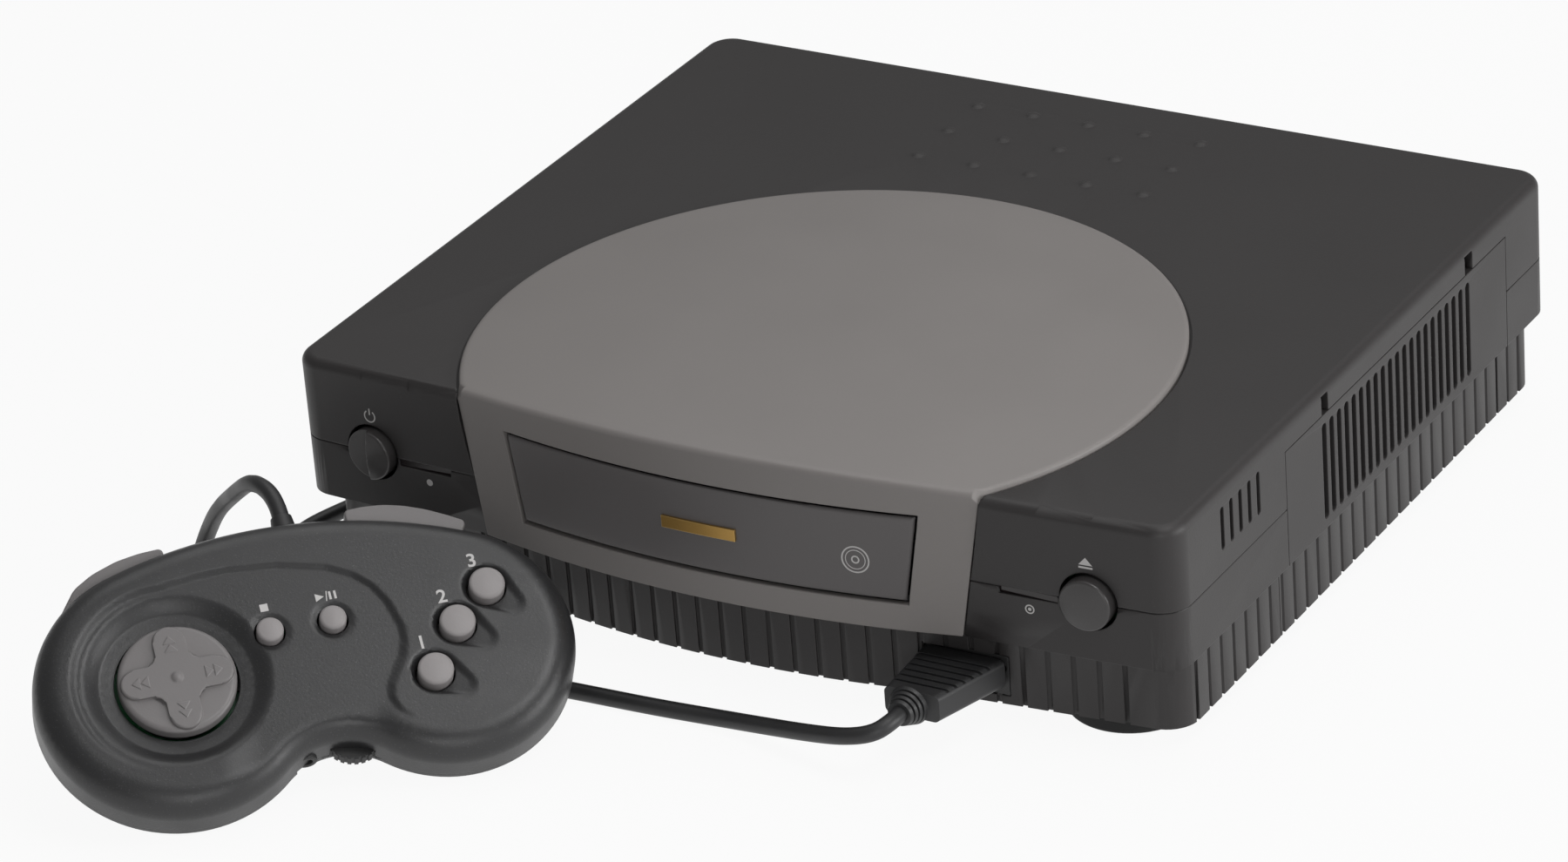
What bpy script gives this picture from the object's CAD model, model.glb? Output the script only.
# Looks of the disc console and its leaning gamepad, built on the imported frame.
# Sizes are in millimetres in the console's own frame unless a name says otherwise; at() gives scene metres.
import math

import bmesh
import bpy
import numpy as np
from mathutils import Matrix, Vector
from mathutils.geometry import delaunay_2d_cdt


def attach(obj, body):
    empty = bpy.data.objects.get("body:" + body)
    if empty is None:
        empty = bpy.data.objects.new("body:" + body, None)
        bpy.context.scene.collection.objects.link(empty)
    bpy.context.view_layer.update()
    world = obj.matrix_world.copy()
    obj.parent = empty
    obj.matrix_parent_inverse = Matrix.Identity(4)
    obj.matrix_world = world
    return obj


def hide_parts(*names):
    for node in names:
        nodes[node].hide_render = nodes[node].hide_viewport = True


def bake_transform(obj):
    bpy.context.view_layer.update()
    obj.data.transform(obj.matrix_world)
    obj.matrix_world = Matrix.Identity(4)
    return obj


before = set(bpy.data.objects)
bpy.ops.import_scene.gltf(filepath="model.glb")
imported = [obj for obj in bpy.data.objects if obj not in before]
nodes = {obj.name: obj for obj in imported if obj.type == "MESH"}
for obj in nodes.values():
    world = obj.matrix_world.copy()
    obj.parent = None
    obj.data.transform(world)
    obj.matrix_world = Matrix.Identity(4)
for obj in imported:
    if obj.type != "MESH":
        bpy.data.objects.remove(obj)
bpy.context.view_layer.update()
print("frame loaded", len(nodes), "nodes")

mm = 0.001
shift = Vector((3.05, 76.192, 0.0))


def at(x, y, z):
    return (Vector((x, y, z)) + shift) * mm


# Colours and materials

def linear(code):
    parts = [int(code[i:i + 2], 16) / 255 for i in (0, 2, 4)]
    return tuple(c / 12.92 if c <= 0.04045 else ((c + 0.055) / 1.055) ** 2.4 for c in parts) + (1.0,)


def addNode(tree, kind, settings=None, links=None):
    node = tree.nodes.new(kind)
    for key, value in (settings or {}).items():
        if isinstance(key, int) or key in node.inputs:
            node.inputs[key].default_value = value
        else:
            setattr(node, key, value)
    for key, socket in (links or {}).items():
        tree.links.new(socket, node.inputs[key])
    return node


def moulded(name, look):
    # Moulded plastic or rubber: grain, clouded tone, dust specks, and edges worn lighter and rounded.
    material = bpy.data.materials.new(name)
    material.use_nodes = True
    tree = material.node_tree
    tree.nodes.clear()
    place = addNode(tree, "ShaderNodeTexCoord").outputs["Object"]
    grain = addNode(tree, "ShaderNodeTexNoise", {"Scale": look["grain"], "Detail": 5.0, "Roughness": 0.62},
                    {"Vector": place}).outputs["Fac"]
    cloud = addNode(tree, "ShaderNodeTexNoise", {"Scale": look.get("cloud", 22.0), "Detail": 4.0},
                    {"Vector": place}).outputs["Fac"]
    speck = addNode(tree, "ShaderNodeTexNoise", {"Scale": look["grain"] * 1.9, "Detail": 1.0},
                    {"Vector": place}).outputs["Fac"]
    # Only the peaks of the noise turn into specks.
    bright = addNode(tree, "ShaderNodeMapRange",
                     {"From Min": 0.66, "From Max": 0.78, "To Max": look["speck"]},
                     {"Value": speck}).outputs["Result"]
    soft = addNode(tree, "ShaderNodeBevel", {"samples": 6, "Radius": look["round"] * mm}).outputs["Normal"]
    flat = addNode(tree, "ShaderNodeNewGeometry").outputs["Normal"]
    facing = addNode(tree, "ShaderNodeVectorMath", {"operation": "DOT_PRODUCT"}, {0: soft, 1: flat})
    # Where the rounded normal leaves the flat one, there is an edge.
    edge = addNode(tree, "ShaderNodeMapRange", {"From Min": 0.985, "From Max": 0.80, "To Max": look["edge"]},
                   {"Value": facing.outputs["Value"]}).outputs["Result"]
    tone = addNode(tree, "ShaderNodeMapRange", {"From Min": 0.3, "From Max": 0.7, "To Max": 0.35},
                   {"Value": cloud})
    base = addNode(tree, "ShaderNodeMix", {"data_type": "RGBA", 6: linear(look["colour"]),
                                           7: linear(look["second"])}, {0: tone.outputs["Result"]})
    dusty = addNode(tree, "ShaderNodeMix", {"data_type": "RGBA", 7: linear(look["light"])},
                    {0: bright, 6: base.outputs[2]})
    worn = addNode(tree, "ShaderNodeMix", {"data_type": "RGBA", 7: linear(look["light"])},
                   {0: edge, 6: dusty.outputs[2]})
    rough = addNode(tree, "ShaderNodeMapRange",
                    {"From Min": 0.3, "From Max": 0.7, "To Min": look["rough"] - 0.05,
                     "To Max": look["rough"] + 0.05}, {"Value": cloud}).outputs["Result"]
    bump = addNode(tree, "ShaderNodeBump", {"Strength": look["bump"], "Distance": 0.0002},
                   {"Height": grain, "Normal": soft})
    shader = addNode(tree, "ShaderNodeBsdfPrincipled",
                     {"Metallic": look.get("metal", 0.0), "Specular IOR Level": look.get("shine", 0.5)},
                     {"Base Color": worn.outputs[2], "Roughness": rough, "Normal": bump.outputs["Normal"]})
    addNode(tree, "ShaderNodeOutputMaterial", links={"Surface": shader.outputs[0]})
    return material


# Lengths in a look are in mm. grain counts noise cells in a metre: 1500 is one each 0.67 mm, where the real
# moulded grain is about 0.1 mm. It is drawn that much coarser so that it shows in a picture of the whole.
looks = {
    # Moulded ABS with a fine spark grain: near black, a dull sheen, paler along worn edges.
    "blackAbs": {"colour": "2F2D2D", "second": "343232", "light": "6A6767", "grain": 1500.0, "speck": 0.10,
                 "edge": 0.28, "round": 0.55, "rough": 0.46, "bump": 0.18, "shine": 0.35},
    # The same ABS in warm grey: the grain breaks the light into a soft, even sheen.
    "greyAbs": {"colour": "7A7674", "second": "827E7C", "light": "A09C9A", "grain": 1700.0, "speck": 0.10,
                "edge": 0.06, "round": 0.5, "rough": 0.50, "bump": 0.15},
    # Darker grey ABS of the door: smoother, so its bulge shows as a slow change of tone.
    "panelGrey": {"colour": "565353", "second": "5C5959", "light": "8A8786", "grain": 1700.0, "speck": 0.08,
                  "edge": 0.35, "round": 0.5, "rough": 0.46, "bump": 0.14},
    # Charcoal ABS of the gamepad: coarser grain, handled shiny, with dust caught in the grain.
    "padCharcoal": {"colour": "232324", "second": "272728", "light": "7B7A7C", "grain": 1300.0, "speck": 0.26,
                    "edge": 0.10, "round": 0.5, "rough": 0.40, "bump": 0.25, "cloud": 60.0, "shine": 0.6},
    # Mid grey ABS of the cross and triggers: polished a little by thumbs.
    "crossGrey": {"colour": "6E6B6B", "second": "757272", "light": "918E8D", "grain": 1400.0, "speck": 0.10,
                  "edge": 0.35, "round": 0.35, "rough": 0.40, "bump": 0.16},
    # Pale grey ABS of the small keys: matt, with a lighter ring where the edge rounds over.
    "keyGrey": {"colour": "8A8686", "second": "928E8E", "light": "B2AFAE", "grain": 1400.0, "speck": 0.10,
                "edge": 0.30, "round": 0.35, "rough": 0.48, "bump": 0.16},
    # Black ABS of the front keys: a shade smoother than the case, so it catches a highlight.
    "knobBlack": {"colour": "383636", "second": "3D3B3B", "light": "858282", "grain": 1500.0, "speck": 0.08,
                  "edge": 0.30, "round": 0.4, "rough": 0.36, "bump": 0.12},
    # Extruded PVC: soft, almost smooth, with a long dull highlight along the cord.
    "cordPvc": {"colour": "262627", "second": "2C2C2D", "light": "565658", "grain": 900.0, "speck": 0.05,
                "edge": 0.15, "round": 0.2, "rough": 0.46, "bump": 0.10, "cloud": 90.0},
    # Moulded rubber: black and quite dull, with hardly a highlight.
    "rubberFoot": {"colour": "1C1C1C", "second": "252525", "light": "454545", "grain": 900.0, "speck": 0.10,
                   "edge": 0.2, "round": 0.5, "rough": 0.8, "bump": 0.3},
    # Black ABS of inner parts and sockets: plain and matt, so that openings stay dark.
    "innerBlack": {"colour": "262626", "second": "2E2E2E", "light": "505050", "grain": 1100.0, "speck": 0.08,
                   "edge": 0.2, "round": 0.3, "rough": 0.55, "bump": 0.2},
    # Smoked acrylic: polished, so it mirrors the room and shows next to no grain.
    "smokedLens": {"colour": "1A1314", "second": "221718", "light": "4A3436", "grain": 400.0, "speck": 0.0,
                   "edge": 0.3, "round": 0.2, "rough": 0.16, "bump": 0.02},
    # Glass-fibre board under green lacquer: glossy, with pale specks of solder.
    "boardGreen": {"colour": "1E5A35", "second": "2A6B40", "light": "8FB59A", "grain": 500.0, "speck": 0.25,
                   "edge": 0.3, "round": 0.1, "rough": 0.35, "bump": 0.1, "cloud": 160.0},
    # Zinc-plated sheet steel: bright, slightly clouded metal.
    "platedSteel": {"colour": "A9A9A8", "second": "B5B5B3", "light": "D8D8D6", "grain": 900.0, "speck": 0.1,
                    "edge": 0.3, "round": 0.15, "rough": 0.32, "bump": 0.08, "metal": 1.0},
    # Dark iron laminations and castings: grey metal with a rough, broken shine.
    "motorIron": {"colour": "4A4A4C", "second": "565658", "light": "8C8C8E", "grain": 700.0, "speck": 0.1,
                  "edge": 0.3, "round": 0.2, "rough": 0.5, "bump": 0.2, "metal": 0.7},
    # Gilt or brass metal: warm, with bright edges.
    "brassGold": {"colour": "A8854A", "second": "C09A55", "light": "E8CE92", "grain": 900.0, "speck": 0.1,
                  "edge": 0.6, "round": 0.25, "rough": 0.30, "bump": 0.08, "metal": 0.85},
    # Screen-printed ink: pale and flat, laid a hair above the plastic.
    "printWhite": {"colour": "BDBBBA", "second": "C8C6C5", "light": "DAD8D7", "grain": 1800.0, "speck": 0.0,
                   "edge": 0.0, "round": 0.02, "rough": 0.6, "bump": 0.05},
}
materials = {name: moulded(name, look) for name, look in looks.items()}
print("materials made", len(materials))

wears = {
    "blackAbs": ["top_cover", "bottom_case", "expansion_cover"],
    "greyAbs": ["lid_disc_panel"],
    "panelGrey": ["tray_door"],
    "padCharcoal": ["pad_top_shell", "pad_bottom_shell"],
    "keyGrey": ["stop_button", "play_button", "button_1", "button_2", "button_3"],
    "crossGrey": ["dpad", "left_trigger", "right_trigger"],
    "knobBlack": ["power_button", "open_button"],
    "cordPvc": ["cord_arch", "cord_coil", "cord_tail", "plug", "cord_bush", "loading_belt",
                "button_membrane", "deck_dampers"],
    "rubberFoot": ["feet"],
    "innerBlack": ["controller_port", "mains_inlet", "av_jacks", "s_video_jack", "rear_connector",
                   "expansion_socket", "drive_frame", "turntable", "clamp_puck", "disc_tray",
                   "tray_gear", "volume_wheel", "chain_port"],
    "smokedLens": ["ready_lens", "access_lens"],
    "boardGreen": ["main_board", "power_board", "front_boards", "pad_board"],
    "platedSteel": ["shield_plate", "drive_deck", "guide_rods", "spindle_motor", "clamp_bridge",
                    "loading_motor", "screws", "pad_screws", "dpad_pivot", "plug_shell"],
    "motorIron": ["transformer", "laser_sled"],
    "brassGold": ["badge", "loading_pulley", "headphone_jack"],
}
for name, members in wears.items():
    for member in members:
        nodes[member].data.materials.clear()
        nodes[member].data.materials.append(materials[name])


# Making pieces

def finishPiece(name, mesh, ride, replaced=(), angle=35.0):
    # ride is (body, material, slot); the body is None for a piece that bends between two.
    body, material, slotName = ride
    piece = bpy.data.objects.new(name, mesh)
    bpy.context.scene.collection.objects.link(piece)
    mesh.materials.clear()
    mesh.materials.append(materials[material])
    mesh.polygons.foreach_set("use_smooth", [True] * len(mesh.polygons))
    mesh.set_sharp_from_angle(angle=math.radians(angle))
    if body:
        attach(piece, body)
    if replaced:
        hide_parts(*replaced)
    weighted = piece.modifiers.new("evenShade", "WEIGHTED_NORMAL")
    weighted.keep_sharp = True
    return piece


def meshFrom(form, name, place):
    bmesh.ops.recalc_face_normals(form, faces=form.faces)
    form.transform(place)
    mesh = bpy.data.meshes.new(name)
    form.to_mesh(mesh)
    form.free()
    return mesh


def softened(node, name, ride, seat=0.0):
    # The CAD form with its facets welded, so that round stretches shade smoothly.
    # seat widens the round recess of the disc panel, for the dark line round it.
    mesh = nodes[node].data.copy()
    form = bmesh.new()
    form.from_mesh(mesh)
    bmesh.ops.remove_doubles(form, verts=form.verts, dist=0.000004)
    middle = at(0, lid["y"], 0)
    nearWall = 0.9 * mm
    for v in form.verts if seat else ():
        way = Vector((v.co.x - middle.x, v.co.y - middle.y, 0))
        if abs(way.length - lid["radius"] * mm) < nearWall:
            v.co += way.normalized() * seat * mm
    form.to_mesh(mesh)
    form.free()
    return finishPiece(name, mesh, ride, (node,), 30.0)


def turned(form, profile, steps, centre=(0, 0)):
    # Solid of revolution about Z from (radius, height) pairs, closed on the axis at both ends.
    rings = []
    for radius, height in profile:
        if radius < 1e-6:
            rings.append([form.verts.new((centre[0], centre[1], height))])
        else:
            rings.append([form.verts.new((centre[0] + radius * math.cos(2 * math.pi * i / steps),
                                          centre[1] + radius * math.sin(2 * math.pi * i / steps), height))
                          for i in range(steps)])
    for low, high in zip(rings, rings[1:]):
        for i in range(steps):
            j = (i + 1) % steps
            if len(low) == 1:
                form.faces.new((low[0], high[j], high[i]))
            elif len(high) == 1:
                form.faces.new((low[i], low[j], high[0]))
            else:
                form.faces.new((low[i], low[j], high[j], high[i]))


def slab(form, points, low, high, corner=0.0, rim=0.0):
    # Extruded outline; corner rounds its upright edges and rim its top edges.
    base = [form.verts.new((x, y, low)) for x, y in points]
    cap = [form.verts.new((x, y, high)) for x, y in points]
    form.faces.new(base[::-1])
    top = form.faces.new(cap)
    count = len(points)
    uprights = []
    for i in range(count):
        j = (i + 1) % count
        form.faces.new((base[i], base[j], cap[j], cap[i]))
        uprights.append(form.edges.get((base[i], cap[i])))
    if corner:
        bmesh.ops.bevel(form, geom=uprights, offset=corner, segments=5, profile=0.5, affect="EDGES")
        top = max((f for f in form.faces if len(f.verts) > 6 and f.normal.z > 0.9 or f == top),
                  key=lambda f: f.calc_center_median().z)
    if rim:
        bmesh.ops.bevel(form, geom=list(top.edges), offset=rim, segments=3, profile=0.5, affect="EDGES")


# Console

case = {"halfWidth": 150.0, "front": -129.0, "bow": 4.5, "top": 76.5}
lid = {"radius": 109.6, "y": -64.9, "edgeZ": 77.8, "rise": 5.2, "under": 75.0, "front": -142.2,
       "bulge": 365.0, "halfTop": 88.8, "halfBottom": 81.5, "bottom": 30.6, "thick": 2.4, "roll": 1.8,
       "rim": 0.5}
door = {"halfBottom": 65.1, "halfTop": 69.4, "low": 40.2, "high": 68.0, "gap": 1.1, "thick": 3.2,
        "round": 0.9}
casePlace = Matrix.Translation(at(0, 0, 0)) @ Matrix.Scale(mm, 4)


def lidTopZ(x, y):
    # Crown of the grey disc: a circle arc from its rim to its middle.
    reach = min(math.hypot(x, y - lid["y"]) / lid["radius"], 1.0)
    ball = (lid["radius"] ** 2 + lid["rise"] ** 2) / (2 * lid["rise"])
    return lid["edgeZ"] + math.sqrt(ball ** 2 - (reach * lid["radius"]) ** 2) - (ball - lid["rise"])


def bulgeY(x, inset=0.0):
    return lid["front"] + lid["bulge"] - math.sqrt((lid["bulge"] - inset) ** 2 - x ** 2)


def panelHalf(z):
    share = (z - lid["bottom"]) / (case["top"] - lid["bottom"])
    return lid["halfBottom"] + min(share, 1.0) * (lid["halfTop"] - lid["halfBottom"])


def doorHalf(z, gap):
    share = (z - door["low"]) / (door["high"] - door["low"])
    return door["halfBottom"] + share * (door["halfTop"] - door["halfBottom"]) + gap


def panelColumns(z):
    # X of each column of the front panel at a height: side bands, then the stretch of the door.
    half = panelHalf(z)
    inner = doorHalf(min(max(z, door["low"]), door["high"]), door["gap"])
    band = [half, half - 0.25, half - 0.9] + [half - 0.9 - (half - 0.9 - inner) * k / 5 for k in range(1, 5)]
    middle = [inner * (1 - k / 18) for k in range(37)]
    return [-x for x in band] + [-x for x in middle] + [x for x in band[::-1]]


def lidCorner():
    # Where the disc's circle meets the front bulge.
    x = lid["halfTop"]
    for _ in range(30):
        x = math.sqrt(lid["radius"] ** 2 - (bulgeY(x) - lid["y"]) ** 2)
    return x


def makeLid():
    form = bmesh.new()
    rows = []
    corner = lidCorner()
    roll = lid["roll"]
    topColumns = panelColumns(case["top"])
    stretch = corner / topColumns[-1]
    # Rolled edge between the crown and the front face
    for step in range(7):
        angle = math.pi / 2 * step / 6
        row = []
        for x in topColumns:
            x = x * stretch
            y = bulgeY(x) + roll * (1 - math.sin(angle))
            z = lidTopZ(x, bulgeY(x)) - roll * (1 - math.cos(angle))
            row.append(form.verts.new((x, y, z)))
        rows.append(row)
    # Front face, in rows from the roll down, with the door's opening left out
    high, low = door["high"] + door["gap"], door["low"] - door["gap"]
    levels = [74.5, 72.0, high + 0.5, high, high - 0.5]
    levels += [high - 0.5 - (high - low - 1) * k / 8 for k in range(1, 9)]
    levels += [low, low - 0.5, low - 3, low - 6, lid["bottom"] + 0.4, lid["bottom"]]
    for z in levels:
        rows.append([form.verts.new((x, bulgeY(x), z)) for x in panelColumns(z)])
    firstDoor, lastDoor = 7 + levels.index(high), 7 + levels.index(low)
    left, right = 7, 7 + 36
    for r in range(len(rows) - 1):
        for c in range(len(topColumns) - 1):
            if firstDoor <= r < lastDoor and left <= c < right:
                continue
            form.faces.new((rows[r][c], rows[r + 1][c], rows[r + 1][c + 1], rows[r][c + 1]))
    # Crown, in rings from the rim to the middle
    outline = [(v.co.x, v.co.y) for v in rows[0]]
    start = math.atan2(outline[-1][1] - lid["y"], outline[-1][0])
    sweep = 2 * math.pi - (start - math.atan2(outline[0][1] - lid["y"], outline[0][0])) % (2 * math.pi)
    arc = 150
    rim = [(lid["radius"] * math.cos(start + sweep * i / arc),
            lid["y"] + lid["radius"] * math.sin(start + sweep * i / arc)) for i in range(1, arc)]
    loops = []
    centre = (0.0, lid["y"])
    for share in [1.0, 0.994, 0.985, 0.97] + [0.97 * (1 - k / 24) for k in range(1, 24)]:
        loop = []
        for x, y in outline:
            px, py = centre[0] + (x - centre[0]) * share, centre[1] + (y - centre[1]) * share
            loop.append((px, py, lidTopZ(px, py)))
        for x, y in rim:
            px, py = centre[0] + (x - centre[0]) * share, centre[1] + (y - centre[1]) * share
            drop = lid["rim"] if share == 1.0 else 0.0
            loop.append((px, py, lidTopZ(px, py) - drop))
        loops.append(loop)
    rings = [rows[0] + [form.verts.new(p) for p in loops[0][len(outline):]]]
    rings += [[form.verts.new(p) for p in loop] for loop in loops[1:]]
    middle = form.verts.new((0, lid["y"], lidTopZ(0, lid["y"])))
    count = len(rings[0])
    for outer, inner in zip(rings, rings[1:]):
        for i in range(count):
            j = (i + 1) % count
            form.faces.new((outer[i], outer[j], inner[j], inner[i]))
    for i in range(count):
        form.faces.new((rings[-1][i], rings[-1][(i + 1) % count], middle))
    # Upright edge of the round part, let down into the case
    skirt = [form.verts.new((v.co.x, v.co.y, lid["under"])) for v in rings[0][len(outline):]]
    skirt = [rows[7][-1]] + skirt + [rows[7][0]]
    upper = [rows[0][-1]] + rings[0][len(outline):] + [rows[0][0]]
    for i in range(len(upper) - 1):
        form.faces.new((upper[i], skirt[i], skirt[i + 1], upper[i + 1]))
    for column, order in ((-1, 1), (0, -1)):
        side = [rows[r][column] for r in range(8)]
        form.faces.new(side[::order])
    bmesh.ops.recalc_face_normals(form, faces=form.faces)
    top = max(form.faces, key=lambda f: f.calc_center_median().z)
    if top.normal.z < 0:
        bmesh.ops.reverse_faces(form, faces=form.faces)
    thickened(form, lid["thick"])
    return meshFrom(form, "lid", casePlace)


def thickened(form, thick):
    # Closes an open sheet with a second skin under it and walls round every open edge.
    form.normal_update()
    skin = list(form.verts)
    faces = list(form.faces)
    borders = [e for e in form.edges if len(e.link_faces) == 1]
    twin = {v: form.verts.new(v.co - v.normal * thick) for v in skin}
    for face in faces:
        form.faces.new([twin[v] for v in reversed(face.verts)])
    for edge in borders:
        a, b = edge.verts
        form.faces.new((a, b, twin[b], twin[a]))


def makeDoor():
    form = bmesh.new()
    xs = [-1.0, -0.996, -0.985] + [-0.985 + 1.97 * k / 40 for k in range(1, 40)] + [0.985, 0.996, 1.0]
    span = door["high"] - door["low"]
    zs = [0.0, 0.012, 0.04] + [0.04 + 0.92 * k / 10 for k in range(1, 10)] + [0.96, 0.988, 1.0]
    rows = []
    for share in zs:
        z = door["low"] + share * span
        half = doorHalf(z, 0)
        nearZ = min(z - door["low"], door["high"] - z)
        row = []
        for x in xs:
            near = min(nearZ, half * (1 - abs(x)))
            bite = max(0.0, door["round"] - near)
            back = door["round"] - math.sqrt(max(0.0, door["round"] ** 2 - bite ** 2))
            row.append(form.verts.new((x * half, bulgeY(x * half) + 0.2 + back, z)))
        rows.append(row)
    for low, high in zip(rows, rows[1:]):
        for i in range(len(xs) - 1):
            form.faces.new((low[i], low[i + 1], high[i + 1], high[i]))
    form.normal_update()
    thickened(form, door["thick"])
    return meshFrom(form, "door", casePlace)


def frontMatrix(x, z):
    # Place on the case front: X along it, Y up, Z out of it.
    slope = 2 * case["bow"] * x / case["halfWidth"] ** 2
    y = case["front"] - case["bow"] * (1 - (x / case["halfWidth"]) ** 2)
    along = Vector((1, slope, 0)).normalized()
    up = Vector((0, 0, 1))
    turn = Matrix((along, up, along.cross(up))).transposed().to_4x4()
    return Matrix.Translation(at(x, y, z)) @ turn @ Matrix.Scale(mm, 4)


def bulgeMatrix(x, z):
    along = Vector((math.sqrt(lid["bulge"] ** 2 - x ** 2), x, 0)).normalized()
    up = Vector((0, 0, 1))
    turn = Matrix((along, up, along.cross(up))).transposed().to_4x4()
    return Matrix.Translation(at(x, bulgeY(x) + 0.2, z)) @ turn @ Matrix.Scale(mm, 4)


knob = {"x": 122.2, "z": 49.4, "r": 8.1, "proud": 4.2, "back": -7.0, "roll": 0.9, "crown": 0.9}


def makeKnob(grip):
    # Domed cap of a front key; the power key has one side cut back to a grip edge.
    form = bmesh.new()
    r, proud, back, roll, crown = (knob[key] for key in ("r", "proud", "back", "roll", "crown"))
    profile = [(0.0, proud)]
    for k in range(1, 15):
        profile.append(((r - roll) * k / 14, proud - crown * (k / 14) ** 2))
    for k in range(1, 7):
        angle = math.pi / 2 * k / 6
        profile.append((r - roll + roll * math.sin(angle), proud - crown - roll * (1 - math.cos(angle))))
    profile += [(r, 0.5), (r, back), (0.0, back)]
    turned(form, profile, 96)
    if grip:
        for v in form.verts:
            if v.co.z > 0.4 and v.co.x < 0.4:
                share = min(max((0.4 - v.co.x) / 0.9, 0.0), 1.0)
                v.co.z = v.co.z + (min(v.co.z, 1.5) - v.co.z) * share
    return form


# Gamepad

pad = {"yaw": 45.2, "tilt": 35.3, "origin": (-110.8, -253.7, 37.4), "left": (-0.5, -0.3), "leftR": 41.3,
       "right": (79.5, -2.5), "rightR": 38.0, "rearR": 150.0, "frontR": 22.0, "edge": 8.0,
       "parting": -14.5, "wall": 2.0}
well = {"hole": 18.2, "floor": 22.2, "rim": 26.9, "deep": 3.5, "crease": 30.2, "creaseDeep": 0.8}
fire = {"spots": [(73.5, -13.2), (83.3, 0.7), (94.5, 10.8)],
        "tails": [(80.2, -18.6), (89.6, -5.2), (100.1, 4.2)], "r": 5.3, "proud": 2.6, "gap": 0.55,
        "wellR": 7.1, "tailR": 4.1, "deep": 1.9,
        "numbers": [(71.6, -3.5), (80.8, 9.9), (92.0, 19.6)]}
small = {"spots": [(29.5, 9.6), (48.2, 9.6)], "r": 4.0, "proud": 1.8, "gap": 0.6, "dish": 6.0, "deep": 0.5}


def padMatrix():
    yaw, tilt = math.radians(pad["yaw"]), math.radians(pad["tilt"])
    along = Vector((math.cos(yaw), math.sin(yaw), 0))
    up = Vector((math.sin(yaw) * math.sin(tilt), -math.cos(yaw) * math.sin(tilt), math.cos(tilt)))
    rear = up.cross(along)
    turn = Matrix((along, rear, up)).transposed().to_4x4()
    return Matrix.Translation(at(*pad["origin"])) @ turn @ Matrix.Scale(mm, 4)


padPlace = padMatrix()


def circleBetween(c1, r1, c2, r2):
    dx, dy = c2[0] - c1[0], c2[1] - c1[1]
    span = math.hypot(dx, dy)
    along = (r1 ** 2 - r2 ** 2 + span ** 2) / (2 * span)
    across = -math.sqrt(r1 ** 2 - along ** 2)
    return (c1[0] + (along * dx - across * dy) / span, c1[1] + (along * dy + across * dx) / span)


def arcPoints(centre, radius, start, end, steps):
    return [(centre[0] + radius * math.cos(start + (end - start) * i / steps),
             centre[1] + radius * math.sin(start + (end - start) * i / steps)) for i in range(steps)]


def headingTo(a, b):
    return math.atan2(b[1] - a[1], b[0] - a[0])


def padPlan(inset):
    # Bean outline: two lobes, a long rear arc and a hollow front arc, all tangent.
    left, right = pad["left"], pad["right"]
    rl, rr = pad["leftR"] - inset, pad["rightR"] - inset
    rear, front = pad["rearR"] - inset, pad["frontR"] + inset
    rearC = circleBetween(left, rear - rl, right, rear - rr)
    frontC = circleBetween(left, front + rl, right, front + rr)
    points = arcPoints(left, rl, headingTo(rearC, left), headingTo(left, frontC) + 2 * math.pi, 110)
    points += arcPoints(frontC, front, headingTo(frontC, left), headingTo(frontC, right), 44)
    points += arcPoints(right, rr, headingTo(right, frontC), headingTo(rearC, right), 96)
    points += arcPoints(rearC, rear, headingTo(rearC, right), headingTo(rearC, left), 70)
    return points


def distanceTo(points, loop):
    # Least distance from each point to a closed chain of segments, and whether it is inside the chain.
    a = np.array(loop)
    b = np.roll(a, -1, axis=0)
    least = np.full(len(points), 1e9)
    inside = np.zeros(len(points), bool)
    for (ax, ay), (bx, by) in zip(a, b):
        dx, dy = bx - ax, by - ay
        t = ((points[:, 0] - ax) * dx + (points[:, 1] - ay) * dy) / max(dx * dx + dy * dy, 1e-12)
        t = np.clip(t, 0, 1)
        near = np.hypot(points[:, 0] - ax - t * dx, points[:, 1] - ay - t * dy)
        least = np.minimum(least, near)
        crosses = (ay > points[:, 1]) != (by > points[:, 1])
        reach = ax + (points[:, 1] - ay) * dx / (dy if abs(dy) > 1e-12 else 1e-12)
        inside ^= crosses & (points[:, 0] < reach)
    return least, inside


def smooth(t):
    t = np.clip(t, 0, 1)
    return t * t * (3 - 2 * t)


def teardrop(points, start, end, r1, r2):
    # Signed distance to a drop: a large circle, a small one and their tangents.
    ax = np.array(end) - np.array(start)
    h = np.linalg.norm(ax)
    ax = ax / h
    rel = points - np.array(start)
    along = rel @ ax
    across = np.abs(rel @ np.array((-ax[1], ax[0])))
    b = (r1 - r2) / h
    a = math.sqrt(1 - b * b)
    k = -b * across + a * along
    out = across * a + along * b - r1
    out = np.where(k < 0, np.hypot(across, along) - r1, out)
    return np.where(k > a * h, np.hypot(across, along - h) - r2, out)


def creaseLoop():
    # Edge of the sunken field round the direction pad and the small keys.
    bend = [(1.1, well["crease"]), (11.0, 31.4), (22.0, 31.9), (36.0, 30.4), (50.0, 26.7), (57.0, 22.8),
            (61.8, 18.0), (65.0, 12.0), (67.2, 3.2), (66.9, -1.5), (65.4, -6.0), (62.6, -10.4),
            (60.2, -14.2), (59.2, -18.2), (60.6, -22.6), (66.4, -29.0)]
    round_ = [(well["crease"] * math.cos(a), well["crease"] * math.sin(a))
              for a in [math.pi * (1.42 - 0.92 * k / 40) for k in range(40)]]
    return round_ + bend + [(70.0, -70.0), (-4.0, -70.0)]


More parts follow.
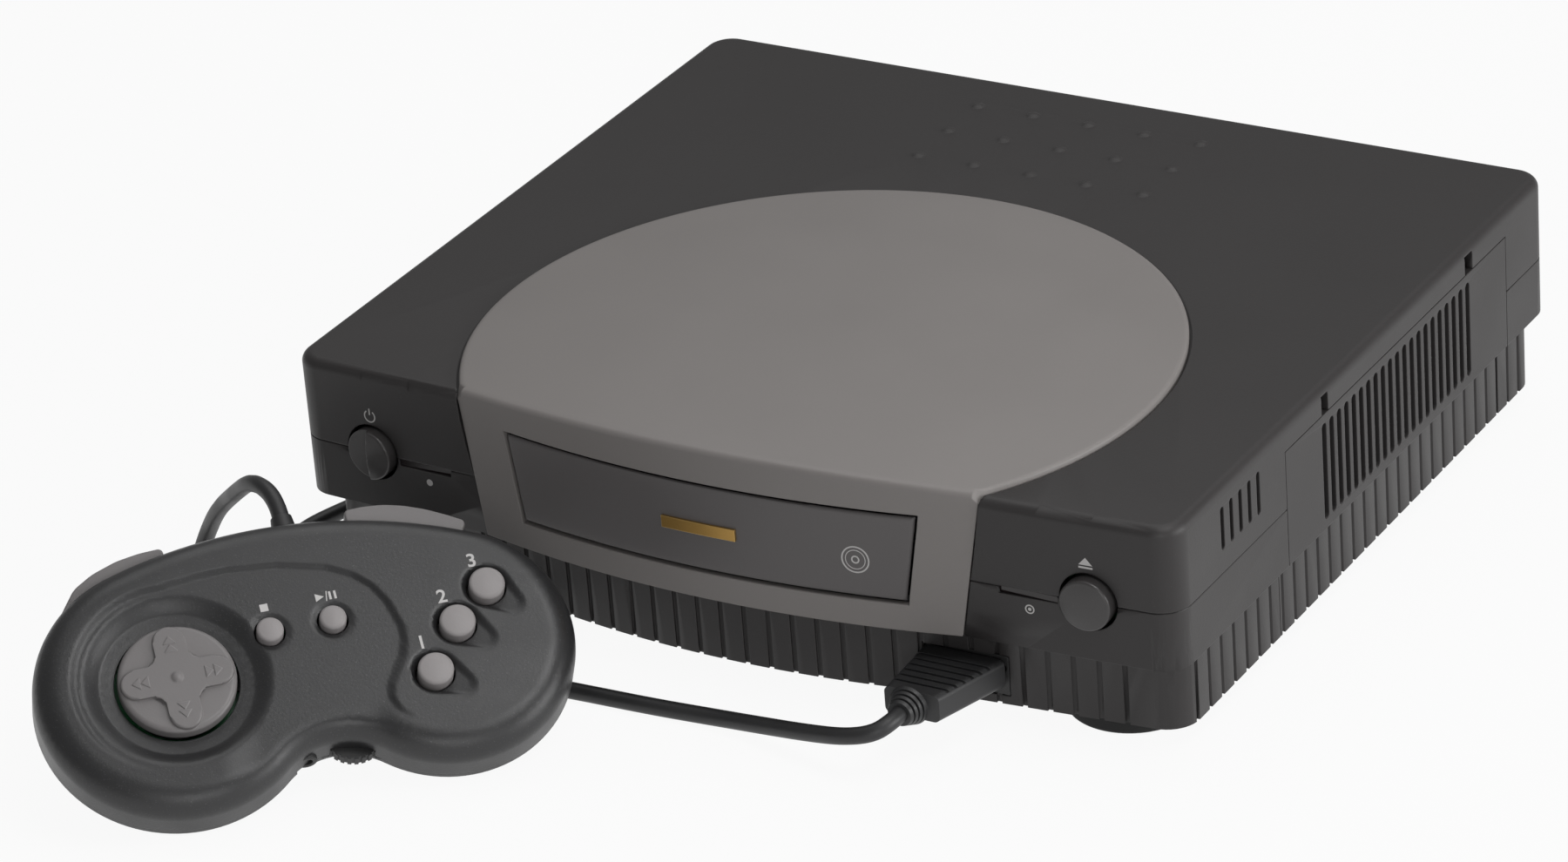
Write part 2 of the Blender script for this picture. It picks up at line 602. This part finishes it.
def padHeights(points):
    # Height of the pad's top over its plan: rounded edge, crease, bowl, and hollows for the keys.
    least, inside = distanceTo(points, padPlan(0))
    bite = np.clip(pad["edge"] - least, 0, pad["edge"])
    z = np.sqrt(np.maximum(pad["edge"] ** 2 - bite ** 2, 0)) - pad["edge"]
    near, within = distanceTo(points, creaseLoop())
    signed = np.where(within, near, -near)
    # The crease fades out at both of its front ends.
    fade = np.maximum(smooth((points[:, 0] - 6.0) / 14.0), smooth((points[:, 1] + 30.0) / 18.0))
    fade = fade * (1 - smooth((points[:, 0] - 52.0) / 8.0) * smooth((-18.0 - points[:, 1]) / 10.0))
    z = z - well["creaseDeep"] * smooth((signed + 0.7) / 1.4) * smooth((least - 3.0) / 5.0) * fade
    reach = np.hypot(points[:, 0], points[:, 1])
    lip = well["rim"] + 0.6
    bowl = (lip - reach) / (lip - well["floor"])
    bowl = 0.6 * np.clip(bowl, 0, 1) + 0.4 * smooth(bowl)
    floor = -well["deep"] - 0.25 * smooth((well["hole"] + 1.3 - reach) / 0.5)
    z = np.where(reach < lip, z + (floor - z) * bowl, z)
    for spot, tail in zip(fire["spots"], fire["tails"]):
        out = teardrop(points, spot, tail, fire["wellR"], fire["tailR"])
        slope = np.clip(1 - (points - np.array(spot)) @ (np.array(tail) - np.array(spot)) / 150.0, 0.25, 1.1)
        z = z - fire["deep"] * smooth(-out / 1.5) * slope
    for spot in small["spots"]:
        reach = np.hypot(points[:, 0] - spot[0], points[:, 1] - spot[1])
        z = z - small["deep"] * smooth((small["dish"] - reach) / 0.9)
    return z


def circlePoints(centre, radius, steps):
    return arcPoints(centre, radius, 0, 2 * math.pi, steps)


def makePadTop():
    loops = [padPlan(0)]
    holes = [((0, 0), well["hole"], 96)]
    holes += [(spot, fire["r"] + fire["gap"], 56) for spot in fire["spots"]]
    holes += [(spot, small["r"] + small["gap"], 48) for spot in small["spots"]]
    loops += [circlePoints(*hole) for hole in holes]
    points, edges = [], []
    for loop in loops:
        first = len(points)
        points += loop
        edges += [(first + i, first + (i + 1) % len(loop)) for i in range(len(loop))]
    for inset in (0.1, 0.4, 0.9, 1.6, 2.5, 3.6, 4.8, 6.1, 7.4, 8.4):
        points += padPlan(inset)
    for reach in (18.3, 19.0, 20.5, 22.2, 22.9, 23.8, 24.7, 25.6, 26.5, 27.5):
        points += circlePoints((0, 0), reach, 110)
    step = 0.85
    grid = np.array([(x, y) for x in np.arange(-44, 120, step) for y in np.arange(-46, 42, step)])
    least, inside = distanceTo(grid, padPlan(0))
    keep = inside & (least > 8.9) & (np.hypot(grid[:, 0], grid[:, 1]) > 28.0)
    for centre, radius, _ in holes[1:]:
        keep &= np.hypot(grid[:, 0] - centre[0], grid[:, 1] - centre[1]) > radius + 0.35
    points += [tuple(p) for p in grid[keep]]
    verts, _, faces, _, _, _ = delaunay_2d_cdt([Vector(p) for p in points], edges, [], 0, 1e-5)
    flat = np.array([tuple(v) for v in verts])
    heights = padHeights(flat)
    middles = np.array([flat[list(f)].mean(axis=0) for f in faces])
    _, wanted = distanceTo(middles, loops[0])
    for centre, radius, _ in holes:
        wanted &= np.hypot(middles[:, 0] - centre[0], middles[:, 1] - centre[1]) > radius * 0.999
    form = bmesh.new()
    made = [form.verts.new((x, y, z)) for (x, y), z in zip(flat, heights)]
    for face, use in zip(faces, wanted):
        if use:
            form.faces.new([made[i] for i in face])
    bmesh.ops.delete(form, geom=[v for v in form.verts if not v.link_faces], context="VERTS")
    bmesh.ops.recalc_face_normals(form, faces=form.faces)
    if sum(f.normal.z for f in form.faces) < 0:
        bmesh.ops.reverse_faces(form, faces=form.faces)
    form.normal_update()
    rims = [e for e in form.edges if len(e.link_faces) == 1]
    outer = [e for e in rims if e.verts[0].co.z < -pad["edge"] + 0.3 and e.verts[1].co.z < -pad["edge"] + 0.3]
    low = bmesh.ops.extrude_edge_only(form, edges=outer)["geom"]
    for v in [g for g in low if isinstance(g, bmesh.types.BMVert)]:
        v.co.z = pad["parting"]
    inner = [e for e in rims if e not in outer]
    deep = bmesh.ops.extrude_edge_only(form, edges=inner)["geom"]
    for v in [g for g in deep if isinstance(g, bmesh.types.BMVert)]:
        v.co.z -= pad["wall"]
    # The skin here is thinner than the real wall, as only its outside is seen.
    thickened(form, pad["wall"] * 0.35)
    return meshFrom(form, "padTop", padPlace)


keyCap = {"roll": 1.1, "foot": -5.4, "lip": 1.4, "end": -6.8}


def makeCap(r, proud, spot, dome):
    # Domed round key on a stem that is narrower below its foot.
    form = bmesh.new()
    roll, foot, lip, end = (keyCap[key] for key in ("roll", "foot", "lip", "end"))
    profile = [(0.0, proud)]
    for k in range(1, 9):
        profile.append(((r - roll) * k / 8, proud - dome * (k / 8) ** 2))
    for k in range(1, 6):
        angle = math.pi / 2 * k / 5
        profile.append((r - roll + roll * math.sin(angle), proud - dome - roll * (1 - math.cos(angle))))
    profile += [(r, foot), (r - lip, foot), (r - lip, end), (0.0, end)]
    turned(form, profile, 56, spot)
    return form


def crossOutline(reach, half, hollow):
    # Four arms with round ends and hollow inner corners.
    points = []
    for turn in range(4):
        arm = [(half * math.cos(a), reach - half + half * math.sin(a))
               for a in [math.pi * k / 12 for k in range(13)]]
        corner = (-half - hollow, half + hollow)
        arm += [(corner[0] + hollow * math.cos(a), corner[1] + hollow * math.sin(a))
                for a in [-math.pi / 2 * k / 6 for k in range(7)]]
        c, s = math.cos(math.pi / 2 * turn), math.sin(math.pi / 2 * turn)
        points += [(x * c - y * s, x * s + y * c) for x, y in arm]
    return points


cross = {"reach": 16.7, "half": 4.8, "hollow": 2.6, "low": -1.0, "high": 1.3, "rim": 0.7,
         "marks": (8.3, 10.9), "markHalf": 1.9, "markLong": 2.4}


def makeCross():
    # Disc, raised arms, a boss in the middle and two pointers on each arm.
    form = bmesh.new()
    profile = [(0.0, 0.2), (8.0, 0.2), (15.6, 0.2), (16.4, 0.1), (17.0, -0.3), (17.3, -0.9), (17.3, -3.4),
               (4.0, -3.4), (0.0, -3.4)]
    turned(form, profile, 96)
    raised = bmesh.new()
    arms = crossOutline(cross["reach"], cross["half"], cross["hollow"])
    slab(raised, arms, cross["low"], cross["high"], 0.0, cross["rim"])
    joined = bpy.data.meshes.new("arms")
    raised.to_mesh(joined)
    raised.free()
    form.from_mesh(joined)
    turned(form, [(0.0, 1.9), (0.8, 1.85), (1.5, 1.6), (1.9, 1.2), (1.9, 0.6), (0.0, 0.6)], 32)
    for turn in range(4):
        c, s = math.cos(math.pi / 2 * turn), math.sin(math.pi / 2 * turn)
        for near in cross["marks"]:
            wide, tip = cross["markHalf"], near + cross["markLong"]
            triangle = [(-wide, near), (wide, near), (0.0, tip)]
            mark = bmesh.new()
            slab(mark, [(x * c - y * s, x * s + y * c) for x, y in triangle], 1.1, 1.5, 0.0, 0.12)
            mark.to_mesh(joined)
            mark.free()
            form.from_mesh(joined)
    return meshFrom(form, "cross", padPlace)


trigger = {"low": -13.6, "high": -6.2, "corner": 1.6, "edge": 0.7}
triggers = {
    "left": [(-28.6, 29.4), (-22.6, 37.8), (-16.4, 41.6), (-8.6, 44.4), (-1.5, 45.6), (5.5, 45.9),
             (5.5, 36.0), (-2.0, 36.0), (-9.0, 37.4), (-20.0, 31.5), (-25.5, 26.5)],
    "right": [(60.0, 47.0), (66.0, 47.2), (72.0, 46.6), (78.0, 45.0), (84.0, 42.5), (90.0, 39.2),
              (94.8, 36.2), (91.5, 30.5), (82.0, 35.8), (71.0, 38.5), (66.0, 36.4), (60.0, 36.4)],
}


def makeTrigger(points):
    form = bmesh.new()
    slab(form, points, trigger["low"], trigger["high"], trigger["corner"], 0.0)
    level = [e for e in form.edges if abs(e.verts[0].co.z - e.verts[1].co.z) < 0.01]
    sharp = [e for e in level if e.calc_face_angle(0) > 1.0]
    bmesh.ops.bevel(form, geom=sharp, offset=trigger["edge"], segments=3, profile=0.5, affect="EDGES")
    return meshFrom(form, "trigger", padPlace)


# Marks

ink = {"low": -0.03, "high": 0.04, "numeral": 6.0}
spots = {"power": (-122.0, 61.6), "open": (121.9, 61.6), "ready": (-101.8, 43.4), "access": (103.4, 43.4),
         "disc": (50.5, 52.2), "stop": (29.5, 17.6), "play": (48.2, 17.6)}


def textForm(text, size):
    curve = bpy.data.curves.new("mark", "FONT")
    curve.body = text
    curve.size = size
    curve.offset = 0.1  # bolder strokes
    curve.extrude = 0.03
    curve.align_x = "CENTER"
    curve.align_y = "CENTER"
    holder = bpy.data.objects.new("mark", curve)
    bpy.context.scene.collection.objects.link(holder)
    mesh = bpy.data.meshes.new_from_object(holder)
    form = bmesh.new()
    form.from_mesh(mesh)
    bmesh.ops.remove_doubles(form, verts=form.verts, dist=0.0001)
    bpy.data.objects.remove(holder)
    return form


def plate(form, points):
    slab(form, points, ink["low"], ink["high"])


def ringMark(form, r, width, start=0.0, end=2 * math.pi):
    steps = 40
    angles = [start + (end - start) * i / steps for i in range(steps + 1)]
    levels = (ink["low"], ink["high"])
    outer = [form.verts.new((r * math.cos(a), r * math.sin(a), z)) for a in angles for z in levels]
    inner = [form.verts.new(((r - width) * math.cos(a), (r - width) * math.sin(a), z))
             for a in angles for z in levels]
    for i in range(steps):
        a, b = 2 * i, 2 * i + 2
        form.faces.new((outer[a + 1], outer[b + 1], inner[b + 1], inner[a + 1]))
        form.faces.new((outer[a], inner[a], inner[b], outer[b]))
        form.faces.new((outer[a], outer[b], outer[b + 1], outer[a + 1]))
        form.faces.new((inner[a], inner[a + 1], inner[b + 1], inner[b]))
    if end - start < 2 * math.pi - 0.01:
        form.faces.new((outer[0], outer[1], inner[1], inner[0]))
        form.faces.new((outer[-2], inner[-2], inner[-1], outer[-1]))
    else:
        bmesh.ops.remove_doubles(form, verts=form.verts, dist=0.001)


def putMark(name, form, place, body):
    mesh = meshFrom(form, name, place)
    return finishPiece(name, mesh, (body, "printWhite", "key_grey"), (), 30.0)


def consoleMarks():
    form = bmesh.new()
    ringMark(form, 2.1, 0.42, math.radians(125), math.radians(415))
    plate(form, [(-0.21, 0.5), (0.21, 0.5), (0.21, 2.6), (-0.21, 2.6)])
    putMark("mark_power", form, frontMatrix(*spots["power"]), "console")
    form = bmesh.new()
    plate(form, [(-2.2, -0.4), (2.2, -0.4), (0.0, 2.0)])
    plate(form, [(-2.2, -1.5), (2.2, -1.5), (2.2, -0.9), (-2.2, -0.9)])
    putMark("mark_open", form, frontMatrix(*spots["open"]), "console")
    form = bmesh.new()
    ringMark(form, 1.1, 1.09)
    putMark("mark_ready", form, frontMatrix(*spots["ready"]), "console")
    form = bmesh.new()
    ringMark(form, 1.5, 0.4)
    ringMark(form, 0.55, 0.54)
    putMark("mark_access", form, frontMatrix(*spots["access"]), "console")
    form = bmesh.new()
    ringMark(form, 4.4, 0.45)
    ringMark(form, 3.2, 0.25)
    ringMark(form, 1.3, 0.45)
    putMark("mark_disc", form, bulgeMatrix(*spots["disc"]), "tray")


jack = {"x": 32.2, "z": -12.2, "r": 3.2, "bore": 1.75}


def makeJack():
    # Socket ring in the pad's front wall, with its dark bore.
    form = bmesh.new()
    r, bore = jack["r"], jack["bore"]
    profile = [(0.0, -1.5), (bore, -1.5), (bore, 0.1), (bore + 0.25, 0.25), (r - 0.3, 0.25), (r, 0.0),
               (r, -4.0), (0.0, -4.0)]
    turned(form, profile, 40)
    form.transform(Matrix.Rotation(math.pi / 2, 4, "X"))
    front = min(p[1] for p in padPlan(0) if abs(p[0] - jack["x"]) < 1.5)
    return meshFrom(form, "jack", padPlace @ Matrix.Translation((jack["x"], front + 0.2, jack["z"])))


def padMarks():
    for number, (x, y) in enumerate(fire["numbers"], 1):
        top = padHeights(np.array([(x, y)]))[0]
        putMark(f"mark_key_{number}", textForm(str(number), ink["numeral"]),
                padPlace @ Matrix.Translation((x, y, top + 0.04)), "gamepad")
    top = padHeights(np.array([spots["stop"]]))[0] + 0.03
    form = bmesh.new()
    plate(form, [(-1.2, -1.2), (1.2, -1.2), (1.2, 1.2), (-1.2, 1.2)])
    putMark("mark_stop", form, padPlace @ Matrix.Translation((*spots["stop"], top)), "gamepad")
    form = bmesh.new()
    plate(form, [(-3.4, -1.3), (-0.9, 0.0), (-3.4, 1.3)])
    plate(form, [(0.6, -1.3), (1.3, -1.3), (1.3, 1.3), (0.6, 1.3)])
    plate(form, [(2.1, -1.3), (2.8, -1.3), (2.8, 1.3), (2.1, 1.3)])
    plate(form, [(-0.5, -1.6), (-0.2, -1.6), (0.3, 1.6), (0.0, 1.6)])
    putMark("mark_play", form, padPlace @ Matrix.Translation((*spots["play"], top)), "gamepad")


# Cord: the points of its route, by hand, with the coil's turns by a loop

cordR = 2.6
bush = (43.0, 53.12, -16.2)
archPoints = [
    (-134.0, -176.4, 60.0), (-148.9, -166.3, 47.5), (-163.8, -156.2, 34.0), (-174.6, -148.9, 20.0),
    (-178.2, -148.8, 12.0), (-180.6, -153.6, 5.8), (-181.0, -162.0, cordR), (-177.6, -172.6, cordR),
    (-170.0, -180.6, cordR),
]
tailPoints = [
    (-98.3, -177.5, 19.7), (-104.5, -163.5, 14.0), (-117.0, -153.0, 6.5), (-134.0, -146.5, cordR),
    (-151.0, -138.5, cordR), (-164.0, -126.0, cordR), (-168.8, -110.5, cordR), (-163.0, -91.0, cordR),
    (-153.0, -68.0, cordR), (-132.0, -50.5, cordR), (-106.0, -51.5, cordR), (-92.5, -73.0, cordR),
    (-89.5, -103.0, cordR), (-88.0, -131.0, cordR), (-77.0, -153.0, cordR), (-55.0, -164.5, cordR),
    (-34.0, -163.2, cordR), (-8.0, -162.2, cordR), (12.0, -160.5, cordR), (30.0, -163.5, 5.5),
    (48.3, -167.5, 9.2), (62.0, -170.3, 12.5), (70.5, -168.5, 14.5), (73.8, -163.6, 16.5),
    (73.8, -158.8, 16.5),
]
coil = {"centre": (-137.0, -195.0), "r": 33.0, "step": 5.7, "layers": 4, "halves": 3, "points": 8}


def coilPoints():
    # Half turns that spiral in and out, each layer one step above the last.
    half = coil["step"] / 2
    inward = [coil["r"] - half * i for i in range(coil["halves"])]
    turns = []
    for layer in range(coil["layers"]):
        flat = inward if layer % 2 == 0 else inward[::-1]
        turns += [(r, 0.0) for r in flat]
        if layer < coil["layers"] - 1:
            turns.append((inward[-1] - half if layer % 2 == 0 else coil["r"] + half, coil["step"]))
    cx, cy = coil["centre"]
    x, z, way = cx - coil["r"], cordR, 1
    spread = 1 / (0.75 + 0.25 * math.cos(math.pi / coil["points"]))
    points = [(x, cy + 3.0, z)]
    for r, climb in turns:
        middle = x + way * r
        for k in range(coil["points"]):
            share = (k + 0.5) / coil["points"]
            angle = math.pi * share
            points.append((middle - way * r * spread * math.cos(angle),
                           cy - way * r * spread * math.sin(angle), z + climb * share))
        z += climb
        x += way * 2 * r
        way = -way
    points.append((x, cy + 3.0, z))
    return points


def makeCord():
    start = padPlace @ Vector(bush)
    ahead = padPlace @ Vector((bush[0], bush[1] + 7.5, bush[2]))
    route = [start, ahead] + [at(*p) for p in archPoints + coilPoints() + tailPoints]
    curve = bpy.data.curves.new("cord", "CURVE")
    curve.dimensions = "3D"
    spline = curve.splines.new("NURBS")
    spline.points.add(len(route) - 1)
    for point, place in zip(spline.points, route):
        point.co = (*place, 1.0)
    spline.order_u = 3
    spline.use_endpoint_u = True
    spline.resolution_u = 8
    holder = bpy.data.objects.new("cordLine", curve)
    bpy.context.scene.collection.objects.link(holder)
    line = bpy.data.meshes.new_from_object(holder)
    path = [v.co.copy() for v in line.vertices]
    curve.bevel_depth = cordR * mm
    curve.bevel_resolution = 5
    curve.use_fill_caps = True
    mesh = bpy.data.meshes.new_from_object(holder)
    bpy.data.objects.remove(holder)
    form = bmesh.new()
    form.from_mesh(mesh)
    bmesh.ops.remove_doubles(form, verts=form.verts, dist=0.000001)
    form.to_mesh(mesh)
    form.free()
    length = sum((b - a).length for a, b in zip(path, path[1:]))
    print("cord length", round(length, 3))
    piece = finishPiece("cord", mesh, (None, "cordPvc", "cord_black"),
                        ("cord_arch", "cord_coil", "cord_tail"))
    return piece, path, start


cordPiece, cordPath, cordExit = makeCord()
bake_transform(cordPiece)
print("cord made")

softened("top_cover", "case_top", ("console", "blackAbs", "case_black"), seat=0.45)
softened("bottom_case", "case_base", ("console", "blackAbs", "case_black"))
softened("expansion_cover", "side_cover", ("side_cover", "blackAbs", "cover_black"))
softened("pad_bottom_shell", "pad_base", ("gamepad", "padCharcoal", "pad_charcoal"))
finishPiece("lid", makeLid(), ("console", "greyAbs", "lid_grey"), ("lid_disc_panel",), 50.0)
finishPiece("door", makeDoor(), ("tray", "panelGrey", "lid_grey"), ("tray_door",), 50.0)
for side, name, body in ((-1, "power", "power_key"), (1, "open", "open_key")):
    cap = meshFrom(makeKnob(side < 0), name, frontMatrix(side * knob["x"], knob["z"]))
    finishPiece(f"knob_{name}", cap, (body, "knobBlack", "lid_grey"), (f"{name}_button",), 40.0)
consoleMarks()
print("console made")

finishPiece("pad_top", makePadTop(), ("gamepad", "padCharcoal", "pad_charcoal"), ("pad_top_shell",), 50.0)
for number, spot in enumerate(fire["spots"], 1):
    cap = meshFrom(makeCap(fire["r"], fire["proud"], spot, 0.35), "cap", padPlace)
    finishPiece(f"cap_{number}", cap, (f"fire_key_{number}", "keyGrey", "key_grey"),
                (f"button_{number}",), 40.0)
for name, spot in zip(("stop", "play"), small["spots"]):
    cap = meshFrom(makeCap(small["r"], small["proud"], spot, 0.3), "cap", padPlace)
    finishPiece(f"cap_{name}", cap, (f"{name}_key", "keyGrey", "key_grey"), (f"{name}_button",), 40.0)
finishPiece("cross", makeCross(), ("pad_cross", "crossGrey", "key_grey"), ("dpad",), 40.0)
for name, points in triggers.items():
    finishPiece(f"trigger_{name}", makeTrigger(points), (f"{name}_trigger_key", "crossGrey", "key_grey"),
                (f"{name}_trigger",), 40.0)
finishPiece("jack_ring", makeJack(), ("gamepad", "innerBlack", "key_grey"), (), 40.0)
padMarks()
print("gamepad made")


# Light, backdrop and camera

def softBox(name, place, target, size, power):
    light = bpy.data.lights.new(name, "AREA")
    light.shape = "RECTANGLE"
    light.size, light.size_y = size
    light.energy = power
    lamp = bpy.data.objects.new(name, light)
    bpy.context.scene.collection.objects.link(lamp)
    lamp.location = place
    lamp.rotation_euler = (Vector(target) - Vector(place)).to_track_quat("-Z", "Y").to_euler()


softBox("keyTop", (-0.2, 0.6, 1.5), (0, 0, 0.05), (1.5, 1.3), 8.0)
softBox("sideRight", (1.5, 0.35, 0.35), (0.15, 0, 0.04), (1.1, 0.7), 15.0)
softBox("frontRight", (0.62, -0.85, 0.32), (0.02, -0.15, 0.04), (0.4, 0.3), 1.9)
softBox("padGlow", (0.44, -0.12, 0.92), (-0.06, -0.15, 0.03), (0.4, 0.4), 3.0)

# Pale floor a hair under the feet; it shows near white and keeps a faint shadow.
floorForm = bmesh.new()
bmesh.ops.create_grid(floorForm, x_segments=1, y_segments=1, size=12.0)
floorMesh = bpy.data.meshes.new("floor")
floorForm.to_mesh(floorMesh)
floorForm.free()
floor = bpy.data.objects.new("floor", floorMesh)
bpy.context.scene.collection.objects.link(floor)
floor.location = (0, 0, -0.0003)
paper = bpy.data.materials.new("paleFloor")
paper.use_nodes = True
tree = paper.node_tree
tree.nodes.clear()
matt = addNode(tree, "ShaderNodeBsdfDiffuse", {"Color": (0.55, 0.55, 0.55, 1)})
glow = addNode(tree, "ShaderNodeEmission", {"Color": (1, 1, 1, 1), "Strength": 1.0})
path = addNode(tree, "ShaderNodeLightPath")
seenRays = addNode(tree, "ShaderNodeMath", {"operation": "MAXIMUM"},
                   {0: path.outputs["Is Camera Ray"], 1: path.outputs["Is Glossy Ray"]})
share = addNode(tree, "ShaderNodeMath", {"operation": "MULTIPLY", 1: 0.93}, {0: seenRays.outputs[0]})
both = addNode(tree, "ShaderNodeMixShader", {}, {0: share.outputs[0], 1: matt.outputs[0], 2: glow.outputs[0]})
addNode(tree, "ShaderNodeOutputMaterial", links={"Surface": both.outputs[0]})
floorMesh.materials.append(paper)

world = bpy.data.worlds.new("whiteRoom")
bpy.context.scene.world = world
world.use_nodes = True
tree = world.node_tree
tree.nodes.clear()
seen = addNode(tree, "ShaderNodeBackground", {"Color": (1, 1, 1, 1), "Strength": 1.0})
fill = addNode(tree, "ShaderNodeBackground", {"Color": (1, 1, 1, 1), "Strength": 0.26})
ray = addNode(tree, "ShaderNodeLightPath").outputs["Is Camera Ray"]
mix = addNode(tree, "ShaderNodeMixShader", {}, {0: ray, 1: fill.outputs[0], 2: seen.outputs[0]})
addNode(tree, "ShaderNodeOutputWorld", links={"Surface": mix.outputs[0]})

lens = {"pixels": 7369.2, "width": 1800, "offX": 3.84, "offY": 1.6}
cameraData = bpy.data.cameras.new("photoCamera")
camera = bpy.data.objects.new("photoCamera", cameraData)
bpy.context.scene.collection.objects.link(camera)
cameraData.sensor_width = 36.0
cameraData.lens = lens["pixels"] * 36.0 / lens["width"]
cameraData.shift_x = -lens["offX"] / lens["width"]
cameraData.shift_y = lens["offY"] / lens["width"]
cameraData.clip_end = 20.0
# Where the photograph was taken from: three directions at right angles, and the eye's place.
rightWay = Vector((0.86493, 0.49699, -0.06996))
upWay = Vector((-0.17351, 0.42690, 0.88750))
lookWay = Vector((-0.47094, 0.75549, -0.45547))
turn = Matrix((rightWay, upWay, -lookWay)).transposed().to_4x4()
eye = at(901.8, -1535.7, 932.2)
camera.matrix_world = Matrix.Translation(eye) @ turn
scene = bpy.context.scene
scene.camera = camera
scene.view_settings.view_transform = "Standard"
print("light and camera set")
